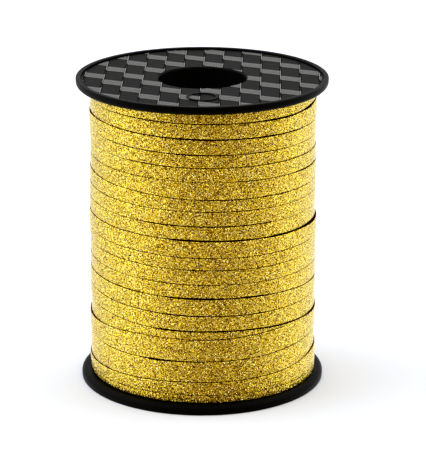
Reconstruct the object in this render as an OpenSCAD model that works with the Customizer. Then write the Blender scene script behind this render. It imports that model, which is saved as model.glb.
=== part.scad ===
// Reel of narrow glitter ribbon: two moulded flanges plugged into a core tube,
// the wound ribbon between them, and the tape at the ribbon's two ends.
// The reel stands on its bottom rim, with its axis on Z and the origin at the middle of its base.

/* [Flanges] */
// Height of the whole reel, from rim to rim
reel_h = 101; // [70:1:160]
// Diameter of the top flange
top_flange_d = 81; // [78:0.5:100]
// Diameter of the bottom flange
bottom_flange_d = 79.5; // [78:0.5:100]
// Height of a flange at its rim
rim_h = 2.8; // [2.6:0.1:4]
// Width of the raised band at the rim
rim_band_w = 1.6; // [1:0.1:3]
// Depth of a flange's outer face below its rim
face_recess = 0.8; // [0.4:0.1:0.9]
// Radius that rounds the rim on the ribbon's side
rim_round = 1.6; // [0.6:0.1:1.6]
// Radius that softens the two edges of the raised band
rim_edge = 0.3; // [0.1:0.05:0.45]
// Diameter of the plain moulding ring on a flange's outer face
mark_d = 10; // [6:0.5:12]
// Distance from the axis to the middle of the moulding ring
mark_from_axis = 25.5; // [23:0.5:29]

/* [Hub] */
// Diameter of the spindle hole
bore_d = 28.4; // [24:0.2:30]
// Chamfer at the mouth of the spindle hole
bore_chamfer = 0.3; // [0.2:0.1:1]
// Wall of the hub that plugs into the core tube
hub_wall = 1.8; // [1.4:0.1:2.2]
// Length of the hub behind its flange
hub_len = 14; // [10:1:25]
// Keys on each hub, which stop the flange turning on the tube
key_count = 3; // [2:1:6]
// Width of a key
key_w = 3; // [2:0.5:5]
// Length of a key along the hub
key_len = 6; // [4:0.5:8]

/* [Core tube] */
// Wall of the core tube
core_wall = 2; // [1.6:0.1:2.4]
// Gap all round between a hub and the tube
hub_gap = 0.1; // [0.05:0.05:0.2]

/* [Ribbon] */
// Width of the ribbon
ribbon_w = 5; // [4:0.5:6]
// Thickness of the ribbon
ribbon_t = 0.25; // [0.15:0.05:0.4]
// Diameter of the winding at its top
winding_top_d = 71.9; // [60:0.1:73]
// Diameter of the winding at its bottom
winding_bottom_d = 73; // [60:0.1:74]
// Gap between the winding and a flange
winding_gap = 0.2; // [0.1:0.1:0.5]
// Slump of the outermost turns at the winding's two ends
winding_slump = 0.4; // [0.1:0.1:0.8]

/* [Tapes] */
// Thickness of the adhesive tape
tape_t = 0.1; // [0.05:0.05:0.2]
// Width of the tape round the reel
tape_w = 12; // [8:1:20]
// Height of the tape along the reel
tape_h = 19; // [12:1:24]

/* [Hidden] */
$fn = 128;
tiny = 0.01;                                // overlap that joins shapes within one piece

bore_r = bore_d / 2;
hub_r = bore_r + hub_wall;
key_h = 1.2;                                // how far a key stands out of its hub
key_clearance = 0.1;                        // room round a key in its notch
hub_lead_in = 0.5;                          // chamfer on the end of a hub
core_in_r = hub_r + hub_gap;
core_out_r = core_in_r + core_wall;
core_h = reel_h - 2 * rim_h;
mark_w = 0.8;                               // width of the moulding ring's wall
mark_h = 0.5;                               // how far the moulding ring stands up

winding_z0 = rim_h + winding_gap;
winding_z1 = reel_h - rim_h - winding_gap;
tail_z0 = winding_z0 + 2 * winding_slump;   // lower edge of the ribbon's outer end
tail_z1 = tail_z0 + ribbon_w;
tail_from = 70;                             // where the loose end leaves the winding, in degrees
tail_to = 96;                               // where the ribbon is cut
back = 90;                                  // direction of the back of the reel, in degrees
end_tape_z1 = tail_z0 + tape_h - 1;

black_plastic = [0.03, 0.03, 0.033];
gold_glitter = [0.83, 0.66, 0.2];
pale_gold = [0.9, 0.76, 0.32];
clear_tape = [0.85, 0.84, 0.78, 0.5];

// Radius of the winding at height z, which grows evenly towards the bottom
function winding_r(z) =
    winding_bottom_d / 2
    + (winding_top_d - winding_bottom_d) / 2 * (z - winding_z0) / (winding_z1 - winding_z0);

// Angle that a width takes up on a circle of radius r
function arc_angle(width, r) = width / r * 180 / PI;

// Half section of a flange, with its outer face up and its ribbon side at height 0
module flange_section(r) {
    difference() {
        union() {
            // web and hub
            translate([bore_r, 0]) square([r - rim_round - bore_r, rim_h - face_recess]);
            translate([bore_r, -hub_len]) square([hub_wall, hub_len + tiny]);
            // rim, round on the ribbon side and nearly sharp on the outside
            translate([r - rim_round, rim_round])
                intersection() {
                    circle(r = rim_round);
                    translate([0, -rim_round]) square(rim_round);
                }
            translate([r - rim_round, rim_round]) square([rim_round, rim_h - rim_edge - rim_round]);
            translate([r - rim_band_w, rim_round - tiny])
                square([rim_band_w - rim_edge, rim_h - rim_edge - rim_round + tiny]);
            translate([r - rim_band_w + rim_edge, rim_round])
                square([rim_band_w - 2 * rim_edge, rim_h - rim_round]);
            for (edge_r = [r - rim_band_w + rim_edge, r - rim_edge])
                translate([edge_r, rim_h - rim_edge]) circle(r = rim_edge);
        }
        // mouth of the spindle hole
        translate([bore_r, rim_h - face_recess])
            polygon([[-tiny, -bore_chamfer], [-tiny, tiny], [bore_chamfer, tiny], [bore_chamfer, 0],
                     [0, -bore_chamfer]]);
        // lead-in on the end of the hub
        translate([hub_r, -hub_len])
            polygon([[tiny, -tiny], [tiny, hub_lead_in], [0, hub_lead_in], [-hub_lead_in, 0],
                     [-hub_lead_in, -tiny]]);
    }
}

// Keys round a hub, or with some room added, the notches that take them
module keys(room, z0, z1) {
    for (i = [0 : key_count - 1])
        rotate(i * 360 / key_count)
            translate([hub_r - 1, -key_w / 2 - room, z0])
                cube([1 + key_h + room, key_w + 2 * room, z1 - z0]);
}

// Plain ring on the outer face, where the moulding's gate is trimmed
module moulding_ring() {
    translate([0, -mark_from_axis, rim_h - face_recess - tiny])
        difference() {
            cylinder(d = mark_d, h = mark_h + tiny);
            translate([0, 0, -1]) cylinder(d = mark_d - 2 * mark_w, h = mark_h + 2);
        }
}

// One flange with its outer face up
module flange(r) {
    rotate_extrude() flange_section(r);
    keys(0, -key_len, tiny);
    moulding_ring();
}

// Patch that wraps the winding: from angle a0 over a degrees, with the section given as children
module wrapped(a0, a) {
    rotate(a0) rotate_extrude(angle = a) children();
}

module top_flange() {
    color(black_plastic) translate([0, 0, reel_h - rim_h]) flange(top_flange_d / 2);
}

module bottom_flange() {
    color(black_plastic) translate([0, 0, rim_h]) mirror([0, 0, 1]) flange(bottom_flange_d / 2);
}

module core_tube() {
    color(black_plastic)
        difference() {
            translate([0, 0, rim_h]) cylinder(r = core_out_r, h = core_h);
            translate([0, 0, rim_h - 1]) cylinder(r = core_in_r, h = core_h + 2);
            keys(key_clearance, rim_h - 1, rim_h + key_len + key_clearance);
            keys(key_clearance, reel_h - rim_h - key_len - key_clearance, reel_h - rim_h + 1);
        }
}

// All the turns of the ribbon together, with a pocket where the first turn is taped to the core
module ribbon_winding() {
    color(gold_glitter)
        difference() {
            rotate_extrude()
                polygon([[core_out_r, winding_z0],
                         [winding_r(winding_z0) - winding_slump, winding_z0],
                         [winding_r(winding_z0), winding_z0 + winding_slump],
                         [winding_r(winding_z1), winding_z1 - winding_slump],
                         [winding_r(winding_z1) - winding_slump, winding_z1],
                         [core_out_r, winding_z1]]);
            start_tape_solid();
        }
}

// Last stretch of the ribbon, which lies on the turns below it at the back
module ribbon_tail() {
    color(pale_gold)
        wrapped(tail_from, tail_to - tail_from)
            polygon([[winding_r(tail_z0), tail_z0],
                     [winding_r(tail_z0) + ribbon_t, tail_z0],
                     [winding_r(tail_z1) + ribbon_t, tail_z1],
                     [winding_r(tail_z1), tail_z1]]);
}

module start_tape_solid() {
    angle = arc_angle(tape_w, core_out_r);
    wrapped(back - angle / 2, angle)
        translate([core_out_r, reel_h / 2 - tape_h / 2]) square([tape_t, tape_h]);
}

// Tape that holds the ribbon's first turn on the core
module start_tape() {
    color(clear_tape) start_tape_solid();
}

// Tape that holds the ribbon's outer end: over the end, then down onto the turns above it
module end_tape() {
    step = 0.8;                             // height over which the tape comes down off the ribbon
    angle = arc_angle(tape_w, winding_r(tail_z1));
    color(clear_tape)
        wrapped(back - angle / 2, angle)
            polygon([[winding_r(tail_z0) + ribbon_t, tail_z0],
                     [winding_r(tail_z0) + ribbon_t + tape_t, tail_z0],
                     [winding_r(tail_z1) + ribbon_t + tape_t, tail_z1 + tape_t],
                     [winding_r(tail_z1 + step) + tape_t, tail_z1 + step],
                     [winding_r(end_tape_z1) + tape_t, end_tape_z1],
                     [winding_r(end_tape_z1), end_tape_z1],
                     [winding_r(tail_z1 + step - tape_t), tail_z1 + step - tape_t],
                     [winding_r(tail_z1) + ribbon_t, tail_z1]]);
}

top_flange();
bottom_flange();
core_tube();
ribbon_winding();
ribbon_tail();
start_tape();
end_tape();
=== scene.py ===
"""Reel of gold glitter ribbon on a black spool: the looks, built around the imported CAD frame.

Everything is in metres in the row frame. Shapes are worked out in millimetres and scaled by MM.
"""
import math

import bmesh
import bpy
import numpy as np
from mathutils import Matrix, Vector
from mathutils.bvhtree import BVHTree


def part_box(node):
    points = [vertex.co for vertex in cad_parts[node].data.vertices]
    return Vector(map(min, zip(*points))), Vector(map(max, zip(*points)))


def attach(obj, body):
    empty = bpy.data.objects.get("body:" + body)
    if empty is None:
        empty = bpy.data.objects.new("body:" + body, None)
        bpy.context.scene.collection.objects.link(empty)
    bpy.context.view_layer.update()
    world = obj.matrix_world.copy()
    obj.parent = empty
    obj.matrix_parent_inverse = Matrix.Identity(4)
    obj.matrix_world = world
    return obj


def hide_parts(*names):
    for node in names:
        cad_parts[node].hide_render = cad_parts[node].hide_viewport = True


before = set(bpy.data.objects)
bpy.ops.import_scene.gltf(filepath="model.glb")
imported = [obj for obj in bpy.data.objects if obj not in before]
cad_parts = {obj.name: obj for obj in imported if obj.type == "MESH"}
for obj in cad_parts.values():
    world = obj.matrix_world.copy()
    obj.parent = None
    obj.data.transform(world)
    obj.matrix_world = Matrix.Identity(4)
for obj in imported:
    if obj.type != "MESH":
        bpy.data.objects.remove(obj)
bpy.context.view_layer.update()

MM = 0.001


# ---------------------------------------------------------------- sizes, from the frame

def millimetres(node):
    """Lowest and highest corner of a CAD node, in millimetres."""
    low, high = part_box(node)
    return Vector(low) / MM, Vector(high) / MM


TOP_LOW, TOP_HIGH = millimetres("top_flange")
BOTTOM_LOW, BOTTOM_HIGH = millimetres("bottom_flange")
WINDING_LOW, WINDING_HIGH = millimetres("ribbon_winding")
CORE_HIGH = millimetres("core_tube")[1]
TAIL_LOW, TAIL_HIGH = millimetres("ribbon_tail")
TAPE_LOW, TAPE_HIGH = millimetres("end_tape")

REEL_H = TOP_HIGH.z
WINDING_R_BOTTOM = WINDING_HIGH.x          # the winding is a little thicker at its bottom
WINDING_R_TOP = WINDING_R_BOTTOM - 0.55
CORE_R = CORE_HIGH.x
OUTSIDE_R = 60.0                           # anywhere outside the reel
RIM_BAND = 1.6                             # raised band round a flange's outer face
FACE_RECESS = 0.8                          # depth of the woven-look face below the band
BORE_R = 14.2
BORE_CHAMFER = 0.3


def winding_radius(z):
    """Radius of the winding at height z."""
    share = (z - WINDING_LOW.z) / (WINDING_HIGH.z - WINDING_LOW.z)
    return WINDING_R_BOTTOM + (WINDING_R_TOP - WINDING_R_BOTTOM) * share


# ---------------------------------------------------------------- small helpers

def smooth_step(value, low, high):
    """0 below low, 1 above high, and a smooth rise between."""
    t = np.clip((value - low) / (high - low), 0.0, 1.0)
    return t * t * (3 - 2 * t)


def smooth_curve(knots, at):
    """Smooth curve through evenly spaced knot values, read at positions in knots."""
    knots = np.asarray(knots, float)
    slopes = np.gradient(knots)
    # the last position stays just short of the last knot, so that a knot always follows
    at = np.clip(at, 0, len(knots) - 1.000001)
    i = at.astype(int)
    t = at - i
    a, b = knots[i], knots[i + 1]
    return (a * (1 + 2 * t) * (1 - t) ** 2 + slopes[i] * t * (1 - t) ** 2
            + b * t * t * (3 - 2 * t) + slopes[i + 1] * t * t * (t - 1))


def wander(at, step, seed):
    """Smooth random curve between -1 and 1, with a new value every step along at."""
    count = int(np.max(at) / step) + 4
    knots = np.random.RandomState(seed).uniform(-1, 1, count)
    return smooth_curve(knots, np.asarray(at, float) / step + 1)


def mesh_object(name, verts_mm, faces, materials, face_slots=None, smooth=True):
    """Object with a mesh made of vertices in millimetres."""
    mesh = bpy.data.meshes.new(name)
    mesh.from_pydata((np.asarray(verts_mm, float) * MM).tolist(), [], faces)
    for material in materials:
        mesh.materials.append(material)
    if face_slots is not None:
        mesh.polygons.foreach_set("material_index", np.asarray(face_slots, np.int32))
    mesh.polygons.foreach_set("use_smooth", np.full(len(mesh.polygons), smooth))
    piece = bpy.data.objects.new(name, mesh)
    bpy.context.scene.collection.objects.link(piece)
    return piece


def turn_normals_out(piece):
    """Points every face of a closed mesh outwards."""
    bm = bmesh.new()
    bm.from_mesh(piece.data)
    bmesh.ops.recalc_face_normals(bm, faces=bm.faces)
    bm.to_mesh(piece.data)
    bm.free()


def sweep(rings, closed):
    """Vertices and quads of a tube whose cross-sections are rings, an array (ring, corner, xyz)."""
    count, corners = rings.shape[:2]
    faces = []
    for i in range(count if closed else count - 1):
        a, b = i * corners, (i + 1) % count * corners
        for k in range(corners):
            n = (k + 1) % corners
            faces.append((a + k, b + k, b + n, a + n))
    if not closed:
        faces.append(tuple(range(corners)))
        faces.append(tuple(range((count - 1) * corners, count * corners))[::-1])
    return rings.reshape(-1, 3), faces


def grid_border(rows, cols):
    """Indices of the outermost points of a grid of rows by cols, in order round it."""
    first = [(0, j) for j in range(cols)] + [(i, cols - 1) for i in range(1, rows)]
    back = [(rows - 1, j) for j in range(cols - 2, -1, -1)] + [(i, 0) for i in range(rows - 2, 0, -1)]
    return [i * cols + j for i, j in first + back]


def side_walls(rows, cols):
    """Quads that join the borders of two equal grids of points, one listed after the other."""
    border = grid_border(rows, cols)
    other = rows * cols
    return [(a, b, other + b, other + a) for a, b in zip(border, border[1:] + border[:1])]


def on_cylinder(angle, radius, z):
    """Points at an angle from the front of the reel, positive towards the right."""
    return np.stack([radius * np.sin(angle), -radius * np.cos(angle), z + 0 * radius * angle], -1)


def fill_ramp(node, stops):
    """Gives a colour ramp its stops: position and colour."""
    elements = node.color_ramp.elements
    while len(elements) < len(stops):
        elements.new(0.5)
    for element, (position, colour) in zip(elements, stops):
        element.position = position
        element.color = (*colour, 1)


# ---------------------------------------------------------------- materials

class Nodes:
    """Short way to build a node material."""

    def __init__(self, name):
        self.material = bpy.data.materials.new(name)
        self.material.use_nodes = True
        self.tree = self.material.node_tree
        self.shader = self.tree.nodes["Principled BSDF"]

    def add(self, kind, inputs=None, **settings):
        """New node, with its inputs linked to sockets or set to values."""
        node = self.tree.nodes.new("ShaderNode" + kind)
        for key, value in settings.items():
            setattr(node, key, value)
        for key, value in (inputs or {}).items():
            if isinstance(value, bpy.types.NodeSocket):
                self.tree.links.new(value, node.inputs[key])
            else:
                node.inputs[key].default_value = value
        return node

    def set(self, **inputs):
        """Links or sets inputs of the shader itself; an underscore stands for a space."""
        for key, value in inputs.items():
            key = key.replace("_", " ")
            if isinstance(value, bpy.types.NodeSocket):
                self.tree.links.new(value, self.shader.inputs[key])
            else:
                self.shader.inputs[key].default_value = value

    def place(self):
        """Where a point is in its object's own space."""
        return self.add("TexCoord").outputs["Object"]

    def maths(self, operation, a, b=0.0):
        """Result of one sum on two values or sockets."""
        return self.add("Math", {0: a, 1: b}, operation=operation).outputs[0]

    def ramp(self, factor, stops):
        """Colour picked by a factor from 0 to 1."""
        node = self.add("ValToRGB", {"Fac": factor})
        fill_ramp(node, stops)
        return node.outputs["Color"]


FLAKES_PER_METRE = 5400.0
# Colours of the flakes: a random tone for each, with painted shade at the dark end for flakes in shade or
# on edge, and painted glints at the pale end
FLAKE_SHADE_TO_GLINT_COLOURS = [
    (0.0, (0.02, 0.003, 0.0)), (0.24, (0.065, 0.012, 0.0)), (0.31, (0.44, 0.23, 0.0)),
    (0.38, (0.86, 0.56, 0.0)), (0.54, (1.0, 0.78, 0.04)), (0.75, (1.0, 0.88, 0.28)),
    (1.0, (1.0, 0.97, 0.75)),
]
FLAT_LEAN, STEEP_LEAN = 0.3, 2.8           # lean of the flattest flakes, and what the steepest add


def glitter_material():
    """Film coated with small gold flakes, each a little tilted and a little different in colour; the
    colours hold painted shade and painted glints.
    """
    m = Nodes("gold_glitter")
    flakes = m.add("TexVoronoi", {"Vector": m.place(), "Scale": FLAKES_PER_METRE, "Randomness": 1.0})
    draw = m.add("SeparateXYZ", {"Vector": flakes.outputs["Color"]}).outputs
    other = m.add("TexWhiteNoise", {"Vector": flakes.outputs["Position"]})
    # painted glints: the flakes that stand up, which catch a light, are picked paler
    steep = m.maths("POWER", draw["Y"], 2.0)
    pale = m.maths("MULTIPLY", draw["X"], m.maths("ADD", 0.75, m.maths("MULTIPLY", steep, 0.25)))
    colour = m.ramp(pale, FLAKE_SHADE_TO_GLINT_COLOURS)
    # most flakes lie nearly flat, and a few stand well up and catch a light
    lean = m.add("VectorMath", {0: other.outputs["Color"], 1: (0.5, 0.5, 0.5)}, operation="SUBTRACT")
    amount = m.maths("ADD", m.maths("MULTIPLY", steep, STEEP_LEAN), FLAT_LEAN)
    lean = m.add("VectorMath", {0: lean.outputs[0], "Scale": amount}, operation="SCALE")
    normal = m.add("NewGeometry").outputs["Normal"]
    tilted = m.add("VectorMath", {0: normal, 1: lean.outputs[0]}, operation="ADD")
    tilted = m.add("VectorMath", {0: tilted.outputs[0]}, operation="NORMALIZE").outputs[0]
    rough = m.maths("ADD", m.maths("MULTIPLY", draw["Z"], 0.12), 0.18)
    m.set(Base_Color=colour, Metallic=0.96, Roughness=rough, Normal=tilted)
    m.set(Specular_Tint=(1.0, 0.97, 0.8, 1), Coat_Weight=0.5, Coat_IOR=1.12, Coat_Roughness=0.3)
    return m.material


def painted_gap_shade_material():
    """Painted shade: the ribbon's edges and the layers inside the winding, where hardly any light gets,
    are coloured near-black brown in place of gold glitter.
    """
    m = Nodes("ribbon_gaps_painted_shade")
    grain = m.add("TexNoise", {"Vector": m.place(), "Scale": 2500.0, "Detail": 2.0})
    colour = m.ramp(grain.outputs["Fac"], [(0.3, (0.018, 0.004, 0.0)), (0.7, (0.075, 0.018, 0.0))])
    m.set(Base_Color=colour, Roughness=0.8, Specular_IOR_Level=0.0)
    return m.material


def plastic_material(name, colour, roughness, shine, grain=0.25):
    """Moulded plastic with a fine spark-eroded grain and slightly uneven colour and gloss."""
    m = Nodes(name)
    place = m.place()
    fine = m.add("TexNoise", {"Vector": place, "Scale": 2600.0, "Detail": 3.0})
    broad = m.add("TexNoise", {"Vector": place, "Scale": 60.0, "Detail": 3.0})
    tint = m.ramp(broad.outputs["Fac"], [(0.3, tuple(0.75 * c for c in colour)), (0.7, colour)])
    rough = m.maths("ADD", m.maths("MULTIPLY", broad.outputs["Fac"], 0.12), roughness - 0.06)
    bump = m.add("Bump", {"Height": fine.outputs["Fac"], "Strength": grain, "Distance": 0.00006})
    m.set(Base_Color=tint, Roughness=rough, Normal=bump.outputs[0])
    m.set(Specular_IOR_Level=shine)
    return m.material


def tape_material(name, veil):
    """Clear film: see-through, glossy, and cloudier where little air bubbles sit under it.

    veil is how much of the film is seen everywhere, even head on.
    """
    m = Nodes(name)
    place = m.place()
    haze = m.add("TexNoise", {"Vector": place, "Scale": 300.0, "Detail": 3.0})
    bubbles = m.add("TexNoise", {"Vector": place, "Scale": 900.0, "Detail": 2.0, "Distortion": 0.6})
    cloudy = m.add("MapRange", {"Value": bubbles.outputs["Fac"], "From Min": 0.6, "From Max": 0.7})
    mirror = m.maths("MULTIPLY", m.add("Fresnel", {"IOR": 1.5}).outputs[0], 1.1)
    seen = m.maths("ADD", m.maths("MULTIPLY", cloudy.outputs[0], 0.12), veil)
    rough = m.maths("ADD", m.maths("MULTIPLY", haze.outputs["Fac"], 0.2), 0.02)
    bump = m.add("Bump", {"Height": haze.outputs["Fac"], "Strength": 0.2, "Distance": 0.0002})
    tint = m.ramp(haze.outputs["Fac"], [(0.3, (0.86, 0.84, 0.76)), (0.7, (0.97, 0.96, 0.92))])
    m.set(Base_Color=tint, Metallic=1.0, Roughness=rough, Normal=bump.outputs[0])
    m.set(Alpha=m.maths("ADD", mirror, seen))
    return m.material


GLITTER = glitter_material()
PAINTED_GAP_SHADE = painted_gap_shade_material()
SPOOL = plastic_material("spool_black", (0.003, 0.003, 0.0032), 0.42, 0.03)
WEAVE_LIGHT = plastic_material("weave_shiny", (0.024, 0.024, 0.025), 0.3, 0.36, 0.15)
# painted highlight: the light blocks' borders and the ridges between columns are lighter grey, for the
# light their edges catch
WEAVE_PAINTED_HIGHLIGHT = plastic_material("weave_edge_painted_highlight", (0.06, 0.06, 0.062), 0.25, 0.7, 0.1)
WEAVE_DARK = plastic_material("weave_matt", (0.0105, 0.0105, 0.011), 0.5, 0.02, 0.3)
# painted shade: the dark blocks' borders are near black, for the shade beside the light blocks
WEAVE_PAINTED_SHADE = plastic_material("weave_painted_shade", (0.003, 0.003, 0.003), 0.8, 0.0, 0.3)
CORE = plastic_material("core_black", (0.003, 0.003, 0.003), 0.7, 0.05)
TAPE = tape_material("clear_tape", 0.0)
TAPE_EDGE = tape_material("clear_tape_edge", 0.28)


# ---------------------------------------------------------------- ribbon winding

# Heights, from the top down, where the edge between one turn and the next crosses the front
TURN_EDGES = [94.5, 89.6, 84.7, 80.6, 75.8, 70.3, 66.3, 61.6, 56.9, 51.3, 47.4,
              42.6, 37.8, 32.2, 27.1, 24.3, 16.9, 10.2, 5.6]
# Where an edge strays from its even course: edge number, middle and half width in degrees, mm up
BENDS = [
    (0, 95, 50, 1.6), (5, -85, 70, 1.0), (5, -30, 30, 0.5), (12, 85, 60, -1.0), (14, 80, 70, -1.3),
    (14, -75, 60, 0.8), (15, -80, 60, -2.0), (15, 55, 60, 1.9), (16, -60, 70, -1.4),
    (16, 85, 90, 2.6), (17, -90, 100, -2.9), (17, 75, 75, 1.6), (17, 95, 50, 1.8), (18, -60, 60, -1.0),
]
# How far an edge stands open, in mm, and how that changes along it
FAINT, THIN, OPEN, WIDE, GAPING = 0.04, 0.13, 0.26, 0.42, 0.65
# Edge number, from and to in degrees from the front, and how open it is there. Where stretches of
# one edge overlap, their widths add up.
OPENINGS = [
    (0, -60, 10, THIN), (0, 0, 40, OPEN), (0, 30, 96, WIDE), (0, 56, 94, WIDE),
    (1, -92, -74, GAPING), (1, -118, -90, THIN), (1, -92, -30, THIN), (1, -45, 95, OPEN),
    (1, 100, 150, THIN), (1, -20, 45, THIN),
    (2, -60, 50, THIN), (2, -15, 20, THIN),
    (3, -45, 75, THIN), (3, -5, 45, FAINT),
    (4, -100, -20, FAINT), (4, 10, 60, THIN), (4, 50, 94, WIDE), (4, 72, 94, OPEN),
    (5, -110, -20, THIN), (5, -30, 70, THIN), (5, -5, 50, THIN),
    (6, -90, 60, FAINT), (6, -12, 35, THIN),
    (7, -90, -20, FAINT), (7, -38, 40, OPEN),
    (8, -110, 10, THIN), (8, -20, 94, WIDE), (8, 62, 94, WIDE), (8, 88, 150, OPEN),
    (9, -100, 90, THIN), (9, -15, 12, FAINT),
    (10, -80, 60, FAINT), (10, -12, 45, THIN),
    (11, -35, 10, THIN), (11, 10, 50, FAINT),
    (12, -110, -10, THIN), (12, -24, 43, WIDE), (12, 34, 94, THIN), (12, 66, 94, OPEN),
    (13, -90, 100, THIN), (13, -25, 35, THIN),
    (14, -110, -10, THIN), (14, -30, 50, WIDE), (14, 40, 94, OPEN), (14, 64, 94, WIDE),
    (14, 90, 130, THIN),
    (15, -93, -76, GAPING), (15, -130, -88, THIN), (15, -76, -30, FAINT), (15, -50, 5, FAINT),
    (15, -2, 50, THIN),
    (16, -110, -20, THIN), (16, -34, 5, WIDE), (16, 0, 110, THIN),
    (17, -100, 66, THIN), (17, 64, 94, GAPING),
    (18, -120, 120, FAINT),
]
# Turns that stand proud of the others or sit deeper: turn, middle and half width in degrees, mm out
UNEVEN = [
    (1, 85, 60, 0.2), (3, 85, 70, -0.15), (5, 85, 50, 0.1), (8, 85, 60, -0.3), (9, 85, 60, 0.35),
    (10, 85, 60, 0.2), (14, 85, 50, -0.2), (15, 85, 50, 0.2), (17, 88, 35, -0.25), (18, 88, 45, 0.15),
    (1, -85, 50, -0.15), (2, -85, 50, 0.15), (4, -85, 60, -0.15), (5, -85, 60, -0.12),
    (7, -85, 60, 0.1), (8, -85, 60, 0.15), (9, -85, 60, 0.25), (10, -85, 60, 0.15),
    (15, -88, 32, -0.3), (16, -88, 40, 0.2), (18, -85, 60, 0.25),
]
MEAN_GAP = 0.02                            # opening of an edge that nothing else opens
BACK_GAP = 0.45                            # widest random opening at the back
GAP_DEPTH = 0.9                            # how far down a gap between two turns goes
RIBBON_T = 0.25                            # the ribbon's own thickness
RIBBON_LEVEL = 0.33                        # mean height of its face above the CAD winding
OFF_CENTRE = 0.22                          # how far the winding sits to one side
STEPS_PER_TURN = 150
# Cross-section of the ribbon: distance in from an edge and depth below the face, from the edge
# inwards, and then points on the face as shares of its width
EDGE_PROFILE = [(0.0, 0.2), (0.05, 0.07), (0.16, 0.01)]
FACE_POINTS = [0.14, 0.35, 0.5, 0.65, 0.86]
# Seeds of the random curves
LINE_SEED, FINE_LINE_SEED = 11, 12
GAP_SEED, GAP_CHANGE_SEED, BACK_GAP_SEED = 21, 22, 23
LEVEL_SEED, LEAN_SEED = 31, 32


def hump(turn, number, middle, reach):
    """Smooth rise to 1 and back, a number of turns down the reel, round an angle in degrees."""
    away = np.abs((turn - number) * 360 - middle) / reach
    return 1 - smooth_step(away, 0.0, 1.0)


def edge_height(turn):
    """Height of the ribbon's edge line after a number of turns; 0 is the first line at the front."""
    heights = [WINDING_HIGH.z, WINDING_HIGH.z, *TURN_EDGES, WINDING_LOW.z, WINDING_LOW.z]
    line = smooth_curve(heights, turn + 2)
    line = line + 0.15 * wander(turn + 2, 0.31, LINE_SEED) + 0.06 * wander(turn + 2, 0.09, FINE_LINE_SEED)
    for edge, middle, reach, rise in BENDS:
        line = line + rise * hump(turn, edge, middle, reach)
    return np.clip(line, WINDING_LOW.z, WINDING_HIGH.z)


def gap_width(turn):
    """How far two neighbouring turns stand apart: as OPENINGS says, and at random at the back."""
    gap = MEAN_GAP * (1 + wander(turn + 2, 0.07, GAP_SEED))
    at_back = smooth_step(-np.cos(turn * 2 * math.pi), 0.2, 0.7)
    gap = gap + BACK_GAP * at_back * np.maximum(wander(turn + 2, 0.29, BACK_GAP_SEED), 0)
    for edge, start, end, width in OPENINGS:
        degrees = (turn - edge) * 360
        soft = min(9, (end - start) / 3)
        window = smooth_step(degrees, start, start + soft) * (1 - smooth_step(degrees, end - soft, end))
        gap = gap + width * window
    return gap * (1 + 0.35 * wander(turn + 2, 0.03, GAP_CHANGE_SEED))


def wound_ribbon():
    """The outermost layer: one long ribbon that goes down the reel turn by turn."""
    turns = len(TURN_EDGES) + 1
    # it starts and ends at a side of the reel, where it runs out against a flange
    turn = np.arange(-0.75, turns - 0.25, 1 / STEPS_PER_TURN)
    upper = edge_height(turn - 1) - gap_width(turn - 1) / 2
    lower = edge_height(turn) + gap_width(turn) / 2
    width = np.maximum(upper - lower, 0.6)
    # where a gap opens below the ribbon, its bottom edge curls out a little
    curl = 0.2 * gap_width(turn)
    # the ribbon's edges are rounded off less where its neighbour lies close
    sunk_top = 0.2 + 0.8 * smooth_step(gap_width(turn - 1), 0.0, 0.15)
    sunk_bottom = 0.2 + 0.8 * smooth_step(gap_width(turn), 0.0, 0.15)
    # the layers are a little uneven, and sit a little off the reel's centre
    angle = turn * 2 * math.pi
    level = 0.06 * wander(turn + 1, 0.23, LEVEL_SEED) + RIBBON_LEVEL + OFF_CENTRE * np.sin(angle)
    for number, middle, reach, out in UNEVEN:
        level = level + out * hump(turn, number, middle, reach)
    # each turn's top edge mostly stands a little prouder than its bottom edge
    lean = 0.04 * wander(turn + 1, 0.41, LEAN_SEED) - 0.04
    # height and depth of each point of the cross-section, from the top gap to the bottom one
    points = [(upper, GAP_DEPTH)]
    points += [(upper - inset, depth * sunk_top) for inset, depth in EDGE_PROFILE]
    points += [(upper - share * width, 0.0) for share in FACE_POINTS]
    points += [(lower + inset, depth * sunk_bottom) for inset, depth in reversed(EDGE_PROFILE)]
    points.append((lower, GAP_DEPTH))
    rings = []
    for z, depth in points:
        share = (upper - z) / width
        crown = 0.06 * (1 - (2 * share - 1) ** 2)
        edge = curl * np.clip(2 * share - 1, 0, 1) ** 2
        radius = winding_radius(z) + level + lean * (share - 0.5) + crown + edge - depth
        rings.append(on_cylinder(angle, radius, z))
    verts, faces = sweep(np.stack(rings, 1), closed=False)
    # glitter from the second point of the edge profile to the same point at the other edge; the edges and
    # gap walls beyond take the painted gap shade
    corners = len(points)
    shiny = range(2, corners - 3)
    slots = [0 if k % corners in shiny else 1 for k in range(len(faces))]
    piece = mesh_object("ribbon_outer_turns", verts, faces, [GLITTER, PAINTED_GAP_SHADE], slots)
    turn_normals_out(piece)
    return piece


def lathe(name, section, materials, steps=180):
    """Solid of revolution about Z, from a closed section of (radius, z) points."""
    angle = np.linspace(0, 2 * math.pi, steps, endpoint=False)
    rings = np.stack([on_cylinder(angle, np.full(steps, r), np.full(steps, z)) for r, z in section], 1)
    verts, faces = sweep(rings, closed=True)
    piece = mesh_object(name, verts, faces, materials)
    turn_normals_out(piece)
    return piece


def winding_body():
    """The layers under the outermost one, seen only through the gaps between its turns, all in painted
    shade.
    """
    low, high = WINDING_LOW.z, WINDING_HIGH.z
    inset = GAP_DEPTH + 0.15
    section = [
        (CORE_R, low), (winding_radius(low) - inset, low),
        (winding_radius(high) - inset, high), (CORE_R, high),
    ]
    return lathe("ribbon_inner_turns", section, [PAINTED_GAP_SHADE])


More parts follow.
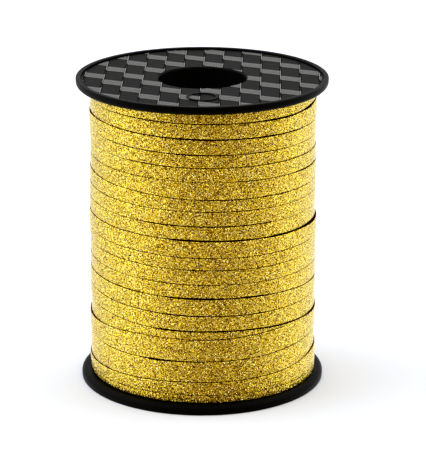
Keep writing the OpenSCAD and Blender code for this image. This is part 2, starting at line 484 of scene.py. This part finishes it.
def surface_under(pieces, angle, z):
    """Radius of the outermost surface of some pieces, at a grid of angles and heights."""
    radius = np.zeros(angle.shape)
    start = on_cylinder(angle, np.full(angle.shape, OUTSIDE_R), z) * MM
    for piece in pieces:
        mesh = piece.data
        tree = BVHTree.FromPolygons([v.co for v in mesh.vertices], [p.vertices for p in mesh.polygons])
        for spot in np.ndindex(angle.shape):
            origin = Vector(start[spot])
            hit = tree.ray_cast(origin, -Vector((origin.x, origin.y, 0)).normalized())[0]
            if hit:
                radius[spot] = max(radius[spot], hit.xy.length / MM)
    return radius


def bridge(heights, reach):
    """Height of a sheet that spans the hollows of a surface: the highest point near by, smoothed."""
    padded = np.pad(heights, reach, mode="edge")
    spans = range(2 * reach + 1)
    rows, cols = heights.shape
    near = [padded[i:i + rows, j:j + cols] for i in spans for j in spans]
    highest = np.pad(np.max(near, 0), reach, mode="edge")
    return np.mean([highest[i:i + rows, j:j + cols] for i in spans for j in spans], 0)


def thin_sheet(name, angle, z, radius, thickness, materials, edge_width=0):
    """Closed thin sheet: a grid of points on its outer side, and the same grid further in.

    Its cut edges, and a border edge_width quads wide, take the second material.
    """
    rows, cols = angle.shape
    outer = on_cylinder(angle, radius, z).reshape(-1, 3)
    inner = on_cylinder(angle, radius - thickness, z).reshape(-1, 3)
    faces, slots = [], []
    for base in (0, rows * cols):
        for i in range(rows - 1):
            for j in range(cols - 1):
                a = base + i * cols + j
                faces.append((a, a + 1, a + cols + 1, a + cols))
                slots.append(int(min(i, j, rows - 2 - i, cols - 2 - j) < edge_width))
    walls = side_walls(rows, cols)
    faces += walls
    slots += [1] * len(walls)
    piece = mesh_object(name, np.concatenate([outer, inner]), faces, materials, slots)
    turn_normals_out(piece)
    return piece


# Angles, from the front, at which the loose end leaves the winding and is cut
TAIL_START, TAIL_END = 158.0, 186.0
TAIL_SLANT = 1.2                           # how much further its top corner reaches, in degrees
TAIL_CLEARANCE = 0.01                      # air under the loose end
TAPE_T = 0.08
TAPE_RISE = 0.12                           # the tape's outer side above what lies under it
TAPE_TOOTH = 0.3                           # height of one step of the toothed cut
CREASE_SEED, CROSS_CREASE_SEED = 51, 52


def loose_end(under):
    """The ribbon's outer end, laid over the last turn and cut off at a slight angle."""
    share, across = np.meshgrid(np.linspace(0, 1, 61), np.linspace(0, 1, 13), indexing="ij")
    z = TAIL_LOW.z + (TAIL_HIGH.z - TAIL_LOW.z) * across
    angle = np.radians(TAIL_START + (TAIL_END - TAIL_START + TAIL_SLANT * (across - 0.5)) * share)
    base = bridge(surface_under(under, angle, z), 3)
    crown = 0.05 * (1 - (2 * across - 1) ** 2)
    # it comes up out of the winding, and its cut end stands a little off
    lift = -RIBBON_T + 0.3 * smooth_step(share, 0.0, 0.35) + 0.25 * smooth_step(share, 0.93, 1.0)
    outer = base + lift + crown + (RIBBON_T + TAIL_CLEARANCE)
    # the cut edges take the painted gap shade, a dark outline that stands for shade under the end
    return thin_sheet("ribbon_loose_end", angle, z, outer, RIBBON_T, [GLITTER, PAINTED_GAP_SHADE])


def tape_patch(under):
    """Piece of clear tape over the ribbon's end, torn off on a toothed blade at both ends."""
    along, across = np.meshgrid(np.linspace(0, 1, 61), np.linspace(-1, 1, 41), indexing="ij")
    mean_radius = winding_radius((TAPE_LOW.z + TAPE_HIGH.z) / 2)
    half = (TAPE_HIGH.x - TAPE_LOW.x) / 2 / mean_radius
    teeth = TAPE_TOOTH * np.abs((np.arange(across.shape[1]) % 4) - 2)[None, :]
    low = TAPE_LOW.z + teeth
    high = TAPE_HIGH.z - teeth
    z = low + (high - low) * along
    angle = math.pi + half * across
    base = bridge(surface_under(under, angle, z), 2)
    creases = (0.035 * wander(9 * along + 3 * across + 4, 0.7, CREASE_SEED)
               + 0.03 * wander(5 * across + 6 - 4 * along + 4, 0.8, CROSS_CREASE_SEED))
    outer = base + TAPE_RISE + creases
    return thin_sheet("clear_tape_patch", angle, z, outer, TAPE_T, [TAPE, TAPE_EDGE], 1)


# ---------------------------------------------------------------- woven-look flange faces

WEAVE_COLUMN = 6.27                        # width of a column of blocks
WEAVE_ROW = 8.75                           # drop from one light block to the next along a stair
WEAVE_FALL = 0.24                          # extra drop from each column to the next
WEAVE_LIGHT_H = 5.3                        # height of a light block
WEAVE_SLANT = 0.44                         # how much a block's top and bottom edges slope
WEAVE_TURN = math.radians(-1.7)            # the pattern isn't square to the reel's front
WEAVE_SHIFT = (-0.05, 21.6)                # left top corner of one light block
WEAVE_COLUMNS = range(-8, 9)               # enough of both to cover the whole face
WEAVE_ROWS = range(-5, 6)
WEAVE_JOINT = 0.1                          # what a dark block leaves free above and below it, together
LIGHT_RELIEF = 0.2                         # how far the blocks stand up
DARK_RELIEF = 0.1
WEAVE_ROOT = -0.1                          # how far they reach down into the flange, before they are cut
BLOCK_CROWN = 0.04                         # how far a block's middle stands above its sides
WEAVE_SEAM = 0.11                          # half width of the fine ridges between the columns
SEAM_AIR = 0.03                            # between a ridge and the blocks beside it
SEAM_RISE = 0.12                           # how far the ridges stand above the light blocks
FACE_MARGIN = 0.7                          # plain ring between the weave and the rim band
BORE_MARGIN = 0.12                         # and between the weave and the bore's chamfer


def weave_block(u, v, width, height, relief, ridges, side, end):
    """Vertices, faces and border marks of one block: a crowned pad with sunk borders and fine ridges.

    (u, v) is its left top corner, ridges counts its fine ridges, and side and end are the widths of
    its sunk borders.
    """
    across, along = 5, 4 * ridges + 1
    us = np.concatenate([[0], np.linspace(side, width - side, across), [width]])
    ts = np.concatenate([[0], np.linspace(end, height - end, along), [height]])
    rows, cols = len(ts), len(us)
    verts, faces, border = [], [], []
    for bottom in (False, True):
        for i, t in enumerate(ts):
            for j, du in enumerate(us):
                rim = i in (0, rows - 1) or j in (0, cols - 1)
                crown = BLOCK_CROWN * (1 - (2 * du / width - 1) ** 2)
                ripple = 0.3 * relief * math.cos(2 * math.pi * ridges * t / height)
                top = relief * 0.4 if rim else relief + crown + ripple
                verts.append((u + du, v - t - WEAVE_SLANT * du, WEAVE_ROOT if bottom else top))
    for bottom in (False, True):
        base = rows * cols if bottom else 0
        for i in range(rows - 1):
            for j in range(cols - 1):
                quad = [base + i * cols + j, base + i * cols + j + 1,
                        base + (i + 1) * cols + j + 1, base + (i + 1) * cols + j]
                faces.append(quad if bottom else quad[::-1])
                border.append(i in (0, rows - 2) or j in (0, cols - 2))
    walls = side_walls(rows, cols)
    return verts, faces + walls, border + [True] * len(walls)


def weave_seam(u, top, bottom):
    """Vertices, faces and border marks of the fine ridge that joins one light block to the next."""
    high = LIGHT_RELIEF + SEAM_RISE
    left, right = u - WEAVE_SEAM, u + WEAVE_SEAM
    corners = [(left, bottom), (right, bottom), (right, top), (left, top)]
    verts = [(x, y, WEAVE_ROOT) for x, y in corners] + [(x, y, high) for x, y in corners]
    faces = [[3, 2, 1, 0], [4, 5, 6, 7], [0, 1, 5, 4], [1, 2, 6, 5], [2, 3, 7, 6], [3, 0, 4, 7]]
    return verts, faces, [True] * 6


def weave_piece(name, light, materials, face_z, up, outer_r, inner_r):
    """All light or all dark blocks of one flange face, cut to the face's ring."""
    verts, faces, slots = [], [], []

    def keep(shape):
        """Adds a block or a ridge, unless all of it lies outside the ring."""
        block, quads, border = shape
        if min(math.hypot(p[0], p[1]) for p in block) > outer_r + 1:
            return
        start = len(verts)
        verts.extend(block)
        faces.extend([start + k for k in quad] for quad in quads)
        slots.extend(int(b) for b in border)

    margin = WEAVE_SEAM + SEAM_AIR
    width = WEAVE_COLUMN - 2 * margin
    for column in WEAVE_COLUMNS:
        for row in WEAVE_ROWS:
            u = WEAVE_SHIFT[0] + WEAVE_COLUMN * column
            v = WEAVE_SHIFT[1] - WEAVE_ROW * (2 * row + column % 2) - WEAVE_FALL * column
            if light:
                # its borders, and the ridge below, take the painted highlight
                keep(weave_block(u + margin, v, width, WEAVE_LIGHT_H, LIGHT_RELIEF,
                                 ridges=3, side=0.1, end=0.15))
                right = u + WEAVE_COLUMN
                keep(weave_seam(right, v - WEAVE_SLANT * WEAVE_COLUMN, v - WEAVE_ROW - WEAVE_LIGHT_H))
            else:
                height = 2 * WEAVE_ROW - WEAVE_LIGHT_H - WEAVE_JOINT
                top = v - WEAVE_LIGHT_H - WEAVE_JOINT / 2
                # its 0.22 mm sides and 0.7 mm ends take the painted shade
                keep(weave_block(u + margin, top, width, height, DARK_RELIEF,
                                 ridges=5, side=0.22, end=0.7))
    verts = np.array(verts)
    c, s = math.cos(WEAVE_TURN), math.sin(WEAVE_TURN)
    x = verts[:, 0] * c - verts[:, 1] * s
    y = verts[:, 0] * s + verts[:, 1] * c
    verts = np.stack([x, y * up, face_z + up * verts[:, 2]], -1)
    piece = mesh_object(name, verts, faces, materials, slots, smooth=False)
    turn_normals_out(piece)
    # the cut ring starts just inside the flange, so that nothing floats above its face
    z0, z1 = sorted((face_z - up * 0.05, face_z + up * 2))
    section = [(inner_r, z0), (outer_r, z0), (outer_r, z1), (inner_r, z1)]
    ring = lathe("ring_cutter", section, materials[:1], 256)
    cut = piece.modifiers.new("ring", "BOOLEAN")
    cut.operation = "INTERSECT"
    cut.solver = "EXACT"
    cut.object = ring
    graph = bpy.context.evaluated_depsgraph_get()
    clipped = bpy.data.meshes.new_from_object(piece.evaluated_get(graph))
    piece.modifiers.clear()
    piece.data = clipped
    bpy.data.objects.remove(ring)
    return piece


# ---------------------------------------------------------------- build

def dress(node, material):
    """Gives a CAD node a better material. Its mesh and its shading stay as packed."""
    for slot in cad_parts[node].material_slots:
        slot.material = material


outer_turns = wound_ribbon()
inner_turns = winding_body()
for piece in (outer_turns, inner_turns):
    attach(piece, "root")
    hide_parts("ribbon_winding")

tail = loose_end([outer_turns])
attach(tail, "root")
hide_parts("ribbon_tail")

patch = tape_patch([outer_turns, tail])
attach(patch, "root")
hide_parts("end_tape")

for flange, low, high, up in (("top", TOP_LOW, TOP_HIGH, 1), ("bottom", BOTTOM_LOW, BOTTOM_HIGH, -1)):
    rim_z = high.z if up > 0 else low.z
    face_z = rim_z - up * FACE_RECESS
    outer = high.x - RIM_BAND - FACE_MARGIN
    inner = BORE_R + BORE_CHAMFER + BORE_MARGIN
    for kind, materials in (("light", [WEAVE_LIGHT, WEAVE_PAINTED_HIGHLIGHT]), ("dark", [WEAVE_DARK, WEAVE_PAINTED_SHADE])):
        name = f"{flange}_weave_{kind}"
        weave = weave_piece(name, kind == "light", materials, face_z, up, outer, inner)
        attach(weave, "root")

dress("top_flange", SPOOL)
dress("bottom_flange", SPOOL)
dress("core_tube", CORE)
dress("start_tape", TAPE)


# ---------------------------------------------------------------- studio

FLOOR_HALF = 6000.0
# Colours of the surrounding light, from the photographer's side to the far side
WORLD_STOPS = [
    (0.04, (0.22, 0.155, 0.05)), (0.22, (0.46, 0.385, 0.21)), (0.42, (0.94, 0.92, 0.82)),
    (0.6, (1.0, 1.0, 1.0)), (1.0, (0.68, 0.68, 0.68)),
]
WORLD_TURN = math.radians(13)              # its dim part is turned this far round the reel
WORLD_STRENGTH = 1.5
BACKDROP_STRENGTH = 1.1


def studio_floor():
    """Plain white floor. Only the camera sees it, so the light stays soft and even."""
    corners = [(-1, -1, 0), (1, -1, 0), (1, 1, 0), (-1, 1, 0)]
    floor = mesh_object("floor", FLOOR_HALF * np.array(corners), [(0, 1, 2, 3)], [])
    m = Nodes("floor_white")
    m.set(Base_Color=(0.675, 0.716, 0.845, 1), Roughness=1.0, Specular_IOR_Level=0.0)
    m.set(Emission_Color=(1, 1, 1, 1), Emission_Strength=0.05)
    floor.data.materials.append(m.material)
    floor.visible_diffuse = False
    floor.visible_glossy = False


def studio_world():
    """Soft light from all round: dim and warm where the photographer stands, brightest at the sides."""
    world = bpy.data.worlds.new("studio")
    bpy.context.scene.world = world
    world.use_nodes = True
    nodes, links = world.node_tree.nodes, world.node_tree.links
    back = nodes["Background"]
    place = nodes.new("ShaderNodeTexCoord")
    ahead = nodes.new("ShaderNodeVectorMath")
    ahead.operation = "DOT_PRODUCT"
    ahead.inputs[1].default_value = (0.5 * math.sin(-WORLD_TURN), 0.5 * math.cos(WORLD_TURN), 0)
    links.new(place.outputs["Generated"], ahead.inputs[0])
    shift = nodes.new("ShaderNodeMath")
    shift.inputs[1].default_value = 0.5
    links.new(ahead.outputs["Value"], shift.inputs[0])
    ramp = nodes.new("ShaderNodeValToRGB")
    links.new(shift.outputs[0], ramp.inputs[0])
    fill_ramp(ramp, WORLD_STOPS)
    links.new(ramp.outputs[0], back.inputs["Color"])
    back.inputs["Strength"].default_value = WORLD_STRENGTH
    # the camera itself sees plain white behind the reel
    white = nodes.new("ShaderNodeBackground")
    white.inputs["Color"].default_value = (1, 1, 1, 1)
    white.inputs["Strength"].default_value = BACKDROP_STRENGTH
    path = nodes.new("ShaderNodeLightPath")
    mix = nodes.new("ShaderNodeMixShader")
    links.new(path.outputs["Is Camera Ray"], mix.inputs[0])
    links.new(back.outputs[0], mix.inputs[1])
    links.new(white.outputs[0], mix.inputs[2])
    links.new(mix.outputs[0], nodes["World Output"].inputs["Surface"])


def softbox(name, azimuth, elevation, distance, size, power):
    """Large square lamp that looks at the middle of the reel."""
    lamp = bpy.data.lights.new(name, "AREA")
    lamp.shape = "SQUARE"
    lamp.size = size
    lamp.energy = power
    holder = bpy.data.objects.new(name, lamp)
    a, e = math.radians(azimuth), math.radians(elevation)
    away = Vector((math.sin(a) * math.cos(e), -math.cos(a) * math.cos(e), math.sin(e)))
    holder.location = Vector((0, 0, REEL_H * MM / 2)) + away * distance
    holder.rotation_euler = away.to_track_quat("Z", "Y").to_euler()
    bpy.context.scene.collection.objects.link(holder)


CAMERA_BACK = 0.7605                       # metres, from the reel's axis
CAMERA_HEIGHT = 0.2885
CAMERA_PITCH = math.radians(17.35)
CAMERA_LENS = 195.5
CAMERA_SHIFT = 0.024


def camera():
    """Long lens that looks a little down on the reel from its front."""
    data = bpy.data.cameras.new("camera")
    data.lens = CAMERA_LENS
    data.sensor_width = 36.0
    data.clip_start, data.clip_end = 0.01, 100
    data.shift_x = CAMERA_SHIFT
    holder = bpy.data.objects.new("camera", data)
    holder.location = (0, -CAMERA_BACK, CAMERA_HEIGHT)
    holder.rotation_euler = (math.pi / 2 - CAMERA_PITCH, 0, 0)
    bpy.context.scene.collection.objects.link(holder)
    bpy.context.scene.camera = holder


studio_floor()
studio_world()
softbox("softbox_left", azimuth=-95, elevation=40, distance=1.3, size=1.2, power=6)
softbox("softbox_right", azimuth=95, elevation=40, distance=1.3, size=1.2, power=4.1)
camera()
bpy.context.scene.view_settings.view_transform = "Standard"
bpy.context.scene.view_settings.look = "Medium High Contrast"
